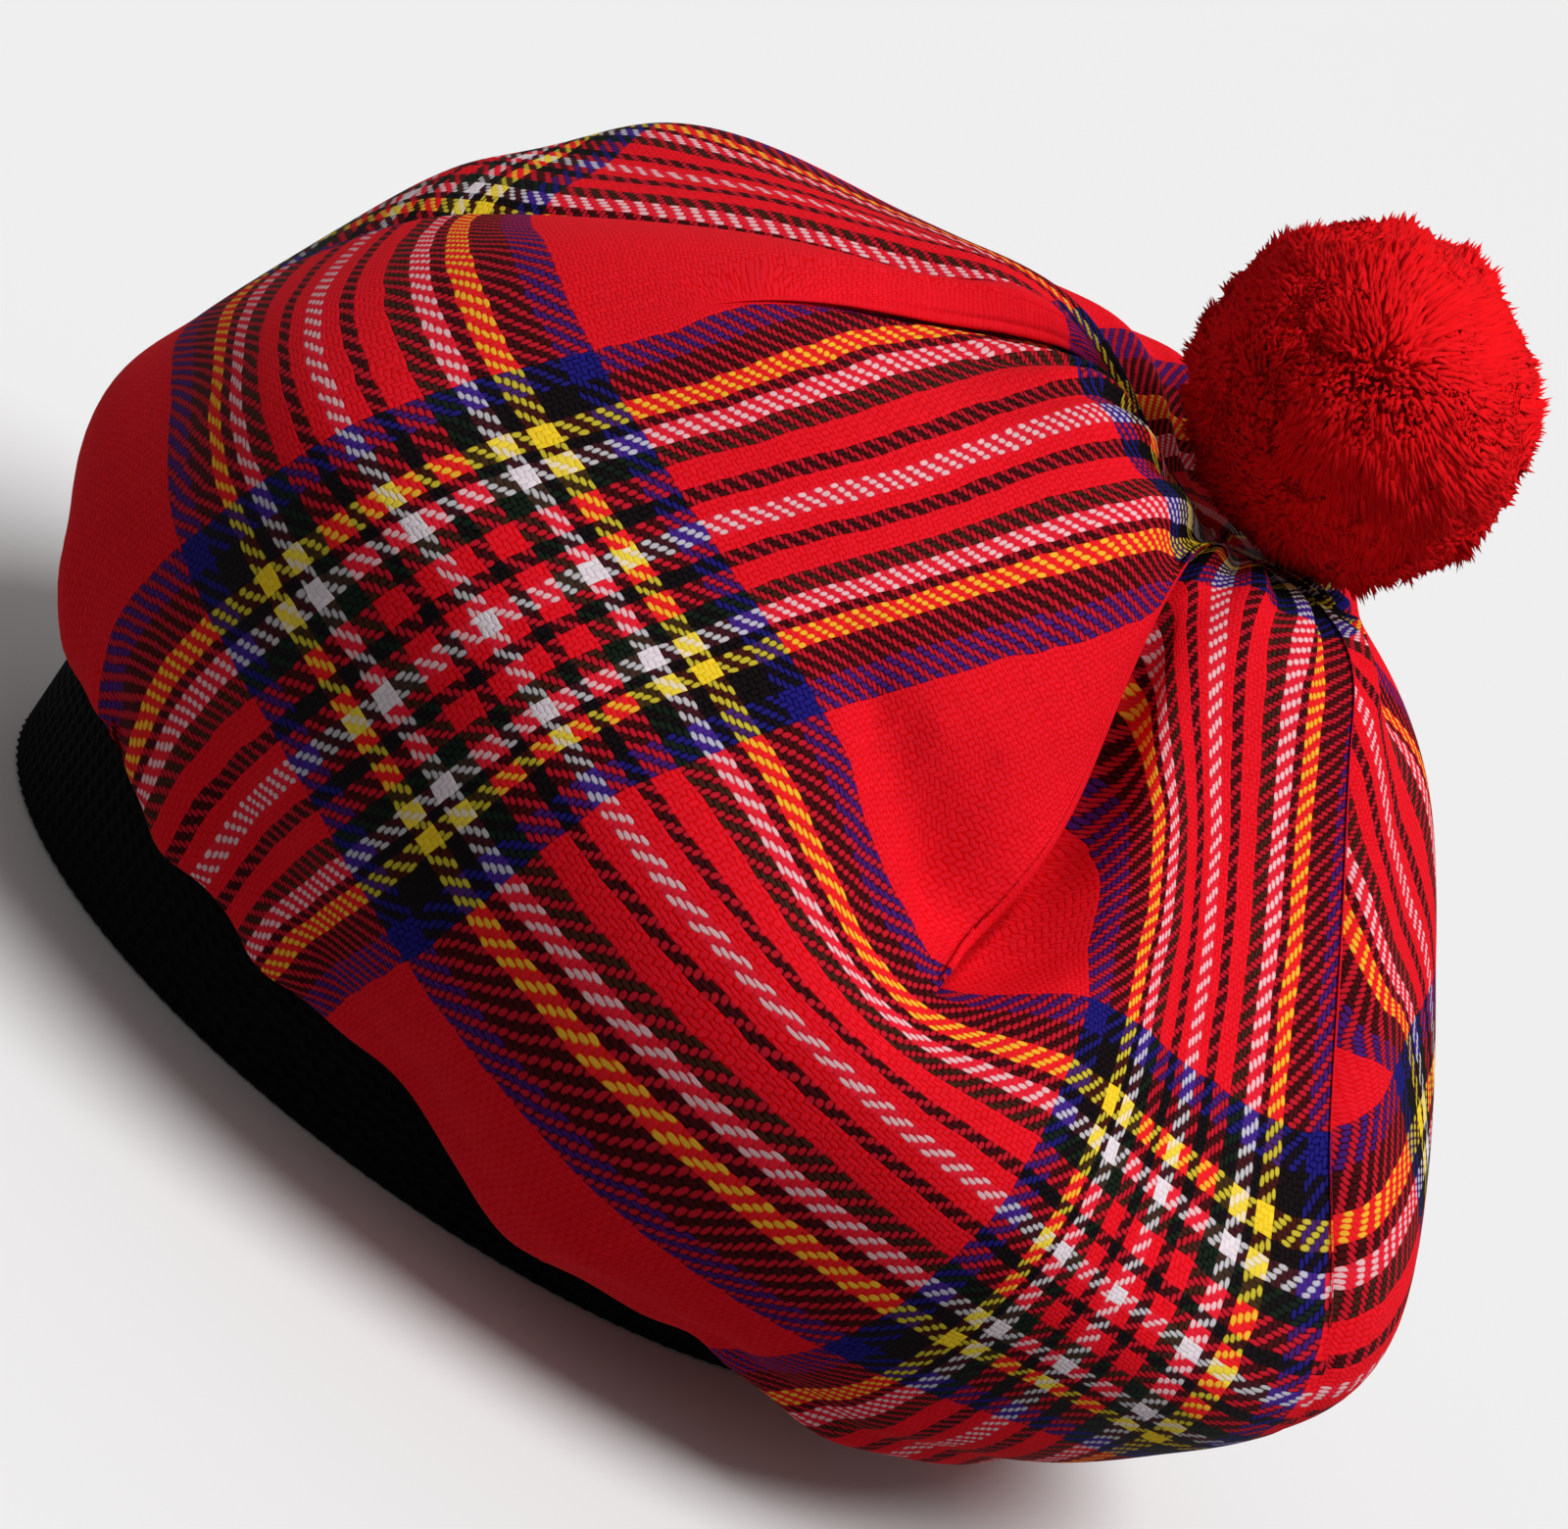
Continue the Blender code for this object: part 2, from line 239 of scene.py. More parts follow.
GATHER_OPENS = (92, 120)
GATHER_ENDS = (130, 155)
# Small creases that only the fine cloth shows, each along a line from one thread and row to another.
CREASES = (
    # thread, row, thread, row, height, half width in threads
    (222,  66,  241,  38, -1.1, 2.4),
    (214,  60,  236,  34,  1.0, 2.4),
    (206,  52,  230,  30, -0.9, 2.4),
    (100, -90,  100, -74,  2.2, 7.0),
    (124, -92,  122, -76, -1.8, 5.0),
    (146, -90,  146, -70,  2.4, 8.0),
    (180, -92,  176, -72,  2.2, 9.0),
    (236, -90,  240, -62,  2.6, 9.0),
    (272, -90,  268, -70, -1.6, 6.0),
    (300, -90,  300, -66,  2.0, 10.0),
)
print(len(SECTIONS), "sections,", len(FOLDS), "folds,", len(CREASES), "creases")

# %% [markdown]
# ## Lips and swallowed threads
# At a fold, one side of the cloth lies over the other and hides some threads. Each row here says
# which threads meet at the fold line, seen from the left and from the right, and which side is on top.
# Without this the stripes would run over a fold as if they were painted on it.

# %% Fold tables
LIPS = {
    # thread: (side on top, lip's height, depth beside it, how wide that is, rows until it has opened)
    50: (1, 1.6, 2.0, 7, 60),
    112: (-1, 1.4, 1.8, 7, 60),
    243: (-1, 2.0, 9.0, 12, 14),
    356: (-1, 3.6, 3.2, 7, 60),
    546: (1, 1.5, 2.0, 7, 60),
    624: (-1, 1.2, 1.6, 7, 60),
}
MEETING = {
    # thread: rows of (row, left thread, right thread)
    50: ((-66, 50, 50), (-10, 35, 36), (39, 27, 40), (117, 26, 41), (160, 24, 43)),
    112: ((-66, 112, 112), (55, 112, 112), (78, 90, 118), (100, 62, 130), (117, 48, 137), (160, 46, 140)),
    205: ((-66, 205, 205), (0, 205, 205), (39, 197, 197), (78, 191, 191), (117, 175, 175),
          (160, 172, 172)),
    243: ((-66, 243, 243), (34, 243, 243), (39, 243, 246), (78, 224, 273), (98, 205, 287),
          (107, 195, 293), (117, 183, 303), (160, 176, 308)),
    273: ((-66, 273, 273), (39, 273, 273), (78, 283, 283), (98, 295, 295), (117, 307, 307),
          (160, 309, 309)),
    356: ((-66, 356, 356), (-10, 355, 362), (39, 351, 405), (51, 351, 426), (78, 349, 443),
          (90, 348, 449), (112, 345, 466), (119, 343, 480), (160, 340, 486)),
    404: ((-66, 404, 404), (0, 406, 406), (25, 434, 434), (39, 443, 443), (51, 456, 456),
          (60, 464, 464), (78, 474, 474), (100, 479, 479), (117, 491, 491), (160, 496, 496)),
    468: ((-66, 468, 468), (0, 470, 470), (39, 481, 481), (60, 487, 487), (100, 488, 488),
          (117, 500, 500), (160, 505, 505)),
    546: ((-66, 546, 546), (39, 546, 546), (78, 532, 562), (117, 521, 585), (160, 516, 600)),
    624: ((-66, 624, 624), (60, 624, 624), (90, 612, 636), (117, 600, 655), (160, 590, 670)),
}
hidden_at_gather = sum(known[-1][2] - known[-1][1] for known in MEETING.values())
print("at the gather the folds hide", hidden_at_gather, "threads")

# %% [markdown]
# ## The crown's surface
# At each row the cloth is a closed ring about its own middle. Its reach and height are smooth curves
# through the sections, so a few numbers give a full, rounded bag. Folds then push the cloth out on both
# sides of a line, dents push it in, and creases and gathers ripple it. All of these move the cloth
# along its own normal.

# %% Crown surface
def band_reach(turn, out):
    """The reach, towards turn in degrees, of an oval that lies out millimetres outside the band."""
    a = BAND_HALF_LENGTH + out
    b = BAND_HALF_WIDTH + out
    angle = np.radians(turn)
    return a * b / np.hypot(b * np.sin(angle), a * np.cos(angle))


def shape_at(rows):
    """The ring's middle, and each section's turn, reach and height, at each row of thread."""
    ring_rows = [ring[1] for ring in RINGS]
    middle = smooth_curve(rows, ring_rows, [ring[2:] for ring in RINGS])
    turns = np.array([[s[1], *s[1:6], s[5]] for s in SECTIONS], float).T
    foot = [[band_reach(s[1], SEAM_OUT), band_reach(s[1], SHOULDER_OUT)] for s in SECTIONS]
    reach = np.array([[*foot[k], *s[6::2], NECK_REACH, THROAT_REACH] for k, s in enumerate(SECTIONS)]).T
    lift = [BAND_HEIGHT + SEAM_LIFT, BAND_HEIGHT + SHOULDER_LIFT]
    height = np.array([[*lift, *s[7::2], NECK_HEIGHT, THROAT_HEIGHT] for s in SECTIONS]).T
    return (
        middle,
        smooth_curve(rows, TURN_ROWS, turns),
        smooth_curve(rows, ring_rows, reach),
        smooth_curve(rows, ring_rows, height),
    )


def all_round(values, turn_over=0.0):
    """A ring's values with two more at each end, taken from its far side."""
    return np.concatenate([values[-2:] - turn_over, values, values[:3] + turn_over])


def face_normals(grid):
    """The way out of the cloth at each point of a grid that closes round."""
    around = np.roll(grid, -1, axis=1) - np.roll(grid, 1, axis=1)
    upward = np.gradient(grid, axis=0)
    normal = np.cross(around, upward)
    return normal / np.maximum(np.linalg.norm(normal, axis=2, keepdims=True), 1e-9)


def fold_strength(thread, rows, opens_over=FOLD_OPENS_OVER):
    """How far the fold at this thread has opened at each row, from 0 to 1."""
    foot = [f[1] for f in FOLDS if f[0] == thread][0]
    return ease(rows, foot, foot + opens_over) * (1 - ease(rows, *FOLD_ENDS))


def crease_lift(threads, row):
    """How far the creases lift the cloth at these threads of one row."""
    lift = np.zeros(len(threads))
    for thread_a, row_a, thread_b, row_b, height, half_width in CREASES:
        along = np.array([thread_b - thread_a, row_b - row_a], float)
        length = np.hypot(*along)
        along /= length
        aside, above = threads - thread_a, row - row_a
        far = aside * along[0] + above * along[1]
        off = aside * along[1] - above * along[0]
        past = np.maximum(np.maximum(-far, far - length), 0.0)
        lift += height * np.exp(-(off**2 + past**2) / half_width**2)
    return lift


def crown_form(column, rows):
    """Points of the crown, without lips, at columns counted in sections and at rows of thread."""
    middle, turns, reach, height = shape_at(rows)
    base = np.empty((len(rows), len(column), 3))
    puff = np.zeros((len(rows), len(column)))
    knots = np.arange(-2, len(SECTIONS) + 3)
    names = [s[0] for s in SECTIONS]
    number = smooth_curve(column, knots, all_round(np.array(names, float), THREADS_ROUND))
    for i, row in enumerate(rows):
        turn = smooth_curve(column, knots, all_round(turns[i], 360.0))
        out = smooth_curve(turn, all_round(turns[i], 360.0), all_round(reach[i]))
        tall = smooth_curve(turn, all_round(turns[i], 360.0), all_round(height[i]))
        angle = np.radians(turn)
        base[i, :, 0] = middle[i, 0] + out * np.sin(angle)
        base[i, :, 1] = middle[i, 1] - out * np.cos(angle)
        base[i, :, 2] = tall
        for thread, foot, left, right, spread in FOLDS:
            section_turn = turns[i, names.index(thread)]
            away = np.radians((turn - section_turn + 180.0) % 360.0 - 180.0) * out / spread
            side = np.where(away < 0, left, right)
            open_here = fold_strength(thread, row)
            puff[i] += open_here * side * np.abs(away) * np.exp(1 - np.abs(away))
        for thread, middle_row, depth, wide, high in DENTS:
            aside = (number - thread) / wide
            puff[i] -= depth * np.exp(-(aside ** 2) - ((row - middle_row) / high) ** 2)
        puff[i] += crease_lift(number, row)
        gather = GATHER_DEPTH * ease(row, *GATHER_OPENS) * (1 - ease(row, *GATHER_ENDS))
        puff[i] += gather * np.sin(GATHERS * angle)
    normal = face_normals(base)
    return base + normal * puff[..., None], normal


rim = crown_form(np.arange(len(SECTIONS), dtype=float), np.array([-1.0, 0.0, 1.0]))[0][1]
print("the rim is about", round(np.ptp(rim[:, 0])), "mm long and", round(np.ptp(rim[:, 1])), "mm wide")


# %% [markdown]
# ## Columns, lips and thread numbers
# The grid's columns crowd towards each fold line, where extra columns carry the lip: over the nose,
# back underneath, and out again below. Every point also gets its thread numbers, which the tartan
# needs: one counted round the cloth and one counted up it.

# %% Crown grid
THREADS_A_COLUMN = 1.45
LIP_OVERLAP = 3.0
LIP_NOSE = 0.8
LIP_BLEND = 7.0  # how far from the line the cloth eases into the lip
LIP_SHUT = 0.9  # the width that the lip's columns share where the fold hasn't opened
CROWDED = 0.35  # how much closer together the columns stand beside a fold line
# The lip's path in steps: how far past the line in noses, how far back in overlaps, share of its drop.
LIP_PATH = (
    (-1.5, 0.0, 0.0), (-0.6, 0.0, 0.01), (0.2, 0.0, 0.05), (0.8, 0.0, 0.16),
    (1.0, 0.0, 0.3), (0.8, 0.0, 0.42), (0.0, 0.3, 0.5), (0.0, 0.75, 0.56),
    (-0.6, 1.0, 0.68), (-0.6, 1.0, 0.84), (0.0, 0.75, 0.94), (0.0, 0.3, 0.98),
    (0.6, 0.0, 1.0),
)
RING_STEPS = (
    # from row, to row, steps
    (SEAM_ROW, -90, 8), (-90, 40, 65), (40, 130, 51), (130, THROAT_ROW, 13),
)


def crown_columns():
    """Column places counted in sections, the fold that each belongs to, and its step along the lip."""
    place, fold, step = [], [], []
    names = [s[0] for s in SECTIONS]
    for k, name in enumerate(names):
        after = names[(k + 1) % len(names)]
        count = max(6, round(((after - name) % THREADS_ROUND) / THREADS_A_COLUMN))
        u = np.arange(1, count) / count
        if name in LIPS and after in LIPS:
            u = u - CROWDED * np.sin(2 * np.pi * u) / (2 * np.pi)
        elif name in LIPS:
            u = CROWDED * u * u + (1 - CROWDED) * u
        elif after in LIPS:
            u = 1 - (CROWDED * (1 - u) ** 2 + (1 - CROWDED) * (1 - u))
        here = len(LIP_PATH) if name in LIPS else 1
        place += [float(k)] * here + list(k + u)
        fold += [name if name in LIPS else -1] * here + [-1] * len(u)
        step += list(range(here)) + [0] * len(u)
    return np.array(place), np.array(fold), np.array(step)


def arc_along(points):
    """The distance along each row of points, starting from its first one."""
    pieces = np.linalg.norm(np.diff(points, axis=1), axis=2)
    return np.concatenate([np.zeros((len(points), 1)), np.cumsum(pieces, axis=1)], axis=1)


def from_line(arc, column):
    """How far round the cloth each point lies from a column, to the left or to the right of it."""
    away = arc[:, :-1] - arc[:, column][:, None]
    half = arc[:, -1:] / 2
    return (away + half) % (2 * half) - half


def lay_threads(points, place, fold, rows):
    """The thread number round the cloth at each point, from the threads known at each section."""
    count = len(place)
    arc = arc_along(np.concatenate([points, points[:, :1]], axis=1))
    names = [s[0] for s in SECTIONS]
    first = [int(np.flatnonzero(place == k)[0]) for k in range(len(names))]
    last = [int(np.flatnonzero(place == k)[-1]) for k in range(len(names))]
    meet = {}
    for name in names:
        known = np.array(MEETING.get(name, ((0, name, name),)), float)
        meet[name] = [np.interp(rows, known[:, 0], known[:, side]) for side in (1, 2)]
    threads = np.zeros(points.shape[:2])
    starts = [k for k, name in enumerate(names) if name in LIPS]
    # from each fold line to the next one, over the end of the grid where it has to be
    for begin, end in zip(starts, starts[1:] + [starts[0] + len(names)]):
        end_column = first[end % len(names)] + count * (end // len(names))
        columns = np.arange(last[begin], end_column + 1)
        over = np.where(columns >= count, THREADS_ROUND, 0)
        wrap = columns % count
        for i in range(len(rows)):
            at = arc[i, wrap] + np.where(columns >= count, arc[i, -1], 0.0)
            knots, known = [], []
            for k in range(begin, end + 1):
                name, laps = names[k % len(names)], k // len(names)
                column, side = (last[begin], 1) if k == begin else (first[k % len(names)], 0)
                knots.append(arc[i, column] + laps * arc[i, -1])
                known.append(meet[name][side][i] + laps * THREADS_ROUND)
            threads[i, wrap] = smooth_curve(at, knots, known) - over
    for name in LIPS:
        columns = np.flatnonzero(fold == name)
        share = np.linspace(0.0, 1.0, len(columns))[None]
        left_side, right_side = meet[name]
        hidden = (right_side - left_side)[:, None]
        shut = np.maximum(1 - hidden, 0.0)  # a shut lip still spans one thread, so that it has a width
        threads[:, columns] = left_side[:, None] + hidden * share + shut * (share - 0.5)
    return threads


def crown_outer(rows):
    """The crown's outer face with its lips, and the thread numbers of each point."""
    place, fold, step = crown_columns()
    points, normal = crown_form(place, rows)
    threads = lay_threads(points, place, fold, rows)
    arc = arc_along(np.concatenate([points, points[:, :1]], axis=1))
    for name, (side, high, low, wide, opens_over) in LIPS.items():
        columns = np.flatnonzero(fold == name)
        strength = fold_strength(name, rows, opens_over)[:, None]
        away = from_line(arc, columns[0])
        on_top = away * side > 0
        outside = fold != name
        lift = strength * np.where(on_top, high, -low)
        lift = lift * np.exp(-np.abs(away) / np.where(on_top, LIP_BLEND, wide))
        points[:, outside] += (normal * lift[..., None])[:, outside]
        line = points[:, columns[0]].copy()
        way = points[:, (columns[-1] + 2) % len(place)] - points[:, columns[0] - 2]
        out = normal[:, columns[0]]
        way -= (way * out).sum(axis=1, keepdims=True) * out
        way /= np.maximum(np.linalg.norm(way, axis=1, keepdims=True), 1e-9)
        path = LIP_PATH if side < 0 else LIP_PATH[::-1]
        shut = np.linspace(-LIP_SHUT / 2, LIP_SHUT / 2, len(path))
        for j, (noses, overlaps, drop), aside in zip(columns, path, shut):
            past = -side * (noses * LIP_NOSE - overlaps * LIP_OVERLAP)
            rise = high - (high + low) * drop
            points[:, j] = line + strength * (past * way + rise * out) + (1 - strength) * aside * way
    return points, normal, threads


def row_places():
    """Places up the cloth for the grid's rings, closer together where it bends most."""
    parts = [np.linspace(start, end, steps + 1)[:-1] for start, end, steps in RING_STEPS]
    return np.concatenate([*parts, [THROAT_ROW]])


rows = row_places()
outer, normal, threads = crown_outer(rows)
print("outer face:", outer.shape[0], "rows by", outer.shape[1], "columns")

# %% [markdown]
# ## Crown mesh
# The outer face is closed by a coarser inner face, a cloth's thickness further in, so the crown is a
# thin shell that is open below. Blender's Solidify could do this, but at the lips it would push the
# inner face through the outer one. A grid gives its own texture maps: one holds the thread numbers, and
# one for baking lays the outer face out in two strips and the inner face in a third.

# %% Crown mesh
CLOTH = 1.1
INNER_EVERY = 4  # the inner face has every fourth ring of the outer one
UNDER_LIP = 0.6  # how much further in than a fold's depth the inner face lies there
STRIP_HIGH = 0.45
STRIP_FILL = 0.99
INNER_STRIP = (0.905, 0.09)
MAP_EDGE = 0.002
# Where the cloth has slipped past its even rows: over the front of the band, and by the gather.
SLIDES = (
    # thread and row in the middle, rows slipped, reach in threads and in rows
    (245, -45, 7.0, 75, 15),
    (157, 124, 9.0, 22, 16),
)


def add_piece(name, points, faces, surface):
    """A smooth mesh piece, made in metres about the band's middle, with its material."""
    place = np.asarray(points, float) + np.array([*BAND_AT, 0.0])
    mesh = bpy.data.meshes.new(name)
    mesh.from_pydata((place * MM).tolist(), [], np.asarray(faces).tolist())
    mesh.materials.append(surface)
    mesh.shade_smooth()
    mesh.update()
    piece = bpy.data.objects.new(name, mesh)
    bpy.context.scene.collection.objects.link(piece)
    return piece


def ring_quads(lower, upper):
    """Quads between two closed rings of vertex numbers."""
    return np.stack([lower, np.roll(lower, -1), np.roll(upper, -1), upper], axis=1)


def set_map(piece, name, corners):
    """A texture map from one pair of values for each face corner."""
    layer = piece.data.uv_layers.new(name=name)
    layer.data.foreach_set("uv", np.asarray(corners, np.float32).ravel())


def slid_rows(thread, row):
    """How many rows of cloth have slid down past each place."""
    slid = 0.0
    for thread_at, row_at, most, wide, tall in SLIDES:
        slid = slid + most * np.exp(-(((thread - thread_at) / wide) ** 2) - ((row - row_at) / tall) ** 2)
    return slid


def crown_shell(surface):
    """The closed shell, with a map of its threads and one for baking."""
    count = outer.shape[1]
    picked = np.unique(np.r_[0:len(rows):INNER_EVERY, len(rows) - 1])
    place, fold, step = crown_columns()
    form, form_normal = crown_form(place + 1e-4 * step, rows[picked])
    deep = np.full((len(picked), count), CLOTH)
    arc = arc_along(np.concatenate([form, form[:, :1]], axis=1))
    for name, (side, high, low, wide, opens_over) in LIPS.items():
        away = from_line(arc, np.flatnonzero(fold == name)[0])
        strength = fold_strength(name, rows[picked], opens_over)[:, None]
        deep += strength * (low + UNDER_LIP) * np.exp(-((away / (1.5 * wide)) ** 2))
    inner = form - form_normal * deep[..., None]
    points = np.concatenate([outer.reshape(-1, 3), inner.reshape(-1, 3)])
    outside = np.arange(outer.shape[0] * count).reshape(-1, count)
    inside = outside[-1, -1] + 1 + np.arange(len(picked) * count).reshape(-1, count)
    bands = [(outside[i], outside[i + 1]) for i in range(len(rows) - 1)]
    bands += [(outside[-1], inside[-1])]
    bands += [(inside[i + 1], inside[i]) for i in range(len(picked) - 2, -1, -1)]
    bands += [(inside[0], outside[0])]
    faces = np.concatenate([ring_quads(*band) for band in bands])
    piece = add_piece("tartan_crown_cloth", points, faces, surface)
    # the maps have a value for each corner, so that the last column can end where the first begins
    around = np.concatenate([threads, threads[:, :1] + THREADS_ROUND], axis=1)
    thread_of = np.concatenate([around, around[picked]])
    row_of = np.concatenate([rows, rows[picked]])
    ring = np.repeat(np.arange(len(row_of)), count)[faces]
    column = np.tile(np.arange(count), len(bands))
    corner = np.stack([column, column + 1, column + 1, column], axis=1)
    thread, row = thread_of[ring, corner], row_of[ring]
    set_map(piece, "threads", np.stack([thread, row + slid_rows(thread, row)], axis=-1))
    half_way = count // 2
    second = (column >= half_way)[:, None]
    shown = (ring < len(rows)).all(axis=1)[:, None]
    u = np.where(second, corner - half_way, corner) / (count - half_way)
    u = np.where(shown, u, corner / count)
    v = (row - SEAM_ROW) / (THROAT_ROW - SEAM_ROW)
    strip = STRIP_HIGH * v * STRIP_FILL + np.where(second, STRIP_HIGH, 0.0)
    v = np.where(shown, strip, INNER_STRIP[0] + INNER_STRIP[1] * v)
    set_map(piece, "OFBake", MAP_EDGE + (1 - 2 * MAP_EDGE) * np.stack([u, v], axis=-1))
    return piece


print("the cloth is", CLOTH, "mm thick and slips by up to", max(slide[2] for slide in SLIDES), "rows")


# %% [markdown]
# ## Tartan
# A tartan is one list of coloured threads, the sett, used both ways: from the middle of a stripe
# outwards, and back again. The threads that run round the hat lie closer together than the upright
# ones, and closer still towards the gather.

# %% Sett and dyes
SETT = (
    # threads from the middle of the stripe outwards, colour
    (2, "white"), (3, "red"), (3, "black"), (5, "red"), (4, "green"), (4, "white"),
    (2, "black"), (4, "yellow"), (6, "black"), (6, "blue"), (39, "red"),
)
DYES = {
    "white": (0.80, 0.76, 0.79),
    "red": (0.80, 0.013, 0.033),
    "black": (0.010, 0.006, 0.008),
    "green": (0.010, 0.022, 0.012),
    "yellow": (0.88, 0.70, 0.05),
    "blue": (0.020, 0.016, 0.23),
}
HALF_SETT = sum(count for count, dye in SETT)
THREADS_A_ROW = 1.15
CROWDING = 1.6e-5
print("the tartan repeats every", 2 * HALF_SETT, "threads")

# %% [markdown]
# ## Materials as formulas
# The weave and the knit are worked out with maths nodes. Written one by one they would fill pages, so a
# small helper adds a node, joins it to its inputs and hands its output on. Then a material reads as a
# formula does.

# %% Node helper
class Nodes:
    """Adds nodes to a material and joins them, so that a formula reads from top to bottom."""

    def __init__(self, surface):
        self.tree = surface.node_tree

    def add(self, kind, inputs=(), **settings):
        node = self.tree.nodes.new(kind)
        for name, value in settings.items():
            setattr(node, name, value)
        for slot, value in dict(inputs).items():
            if isinstance(value, bpy.types.NodeSocket):
                self.tree.links.new(value, node.inputs[slot])
            else:
                node.inputs[slot].default_value = value
        return node

    def maths(self, operation, *values):
        return self.add("ShaderNodeMath", enumerate(values), operation=operation).outputs[0]

    def choose(self, share, first, second):
        return self.add("ShaderNodeMix", {0: share, 2: first, 3: second}, data_type="FLOAT").outputs[0]

    def soft_range(self, value, start, end):
        """0 at start, 1 at end, and a soft step between them."""
        inputs = {"Value": value, "From Min": end, "From Max": start, "To Min": 1.0, "To Max": 0.0}
        return self.add("ShaderNodeMapRange", inputs, interpolation_type="SMOOTHSTEP").outputs[0]

    def mix(self, share, first, second, blend="MIX"):
        inputs = {0: share, 6: first, 7: second}
        return self.add("ShaderNodeMix", inputs, data_type="RGBA", blend_type=blend).outputs[2]

    def vector(self, operation, *values):
        return self.add("ShaderNodeVectorMath", enumerate(values), operation=operation).outputs[0]

    def noise(self, place, scale, detail=1.0):
        return self.add("ShaderNodeTexNoise", {"Vector": place, "Scale": scale, "Detail": detail})

    def scaled(self, colour, amount):
        """A colour made lighter or darker by an amount."""
        grey = self.add("ShaderNodeCombineXYZ", {0: amount, 1: amount, 2: amount}).outputs[0]
        return self.mix(1.0, colour, grey, "MULTIPLY")


print("a node helper with", len([name for name in vars(Nodes) if name[0] != "_"]), "kinds of step")

# %% [markdown]
# ## Weave
# In a 2/2 twill each thread passes over two and under two, one step further on each row, which draws
# the fine slanted lines. A picture of the cloth could be wrapped on, but it would blur close by. The
# material finds from the two thread numbers which thread is on top, then the colour of that thread.

# %% Tartan material
WANDER = 1.5  # threads that the weave wanders from its straight lines
UNDER_GLOW = (1.25, 1.25, 1.25, 1.0)
FLUFF = (1.0, 0.05, 0.08, 1.0)
FLUFF_SHARE = 0.06


def dye_of(nodes, place):
    """The colour of the thread at a place, counted from the middle of a white stripe."""
    from_stripe = nodes.maths("PINGPONG", place, float(HALF_SETT))
    share = nodes.maths("DIVIDE", from_stripe, float(HALF_SETT))
    ramp = nodes.add("ShaderNodeValToRGB", {0: share})
    ramp.color_ramp.interpolation = "CONSTANT"
    at = 0
    for k, (count, dye) in enumerate(SETT):
        stops = ramp.color_ramp.elements
        stop = stops[0] if k == 0 else stops.new(at / HALF_SETT)
        stop.color = (*DYES[dye], 1.0)
        at += count
    ramp.color_ramp.elements.remove(ramp.color_ramp.elements[-1])
    return ramp.outputs[0]


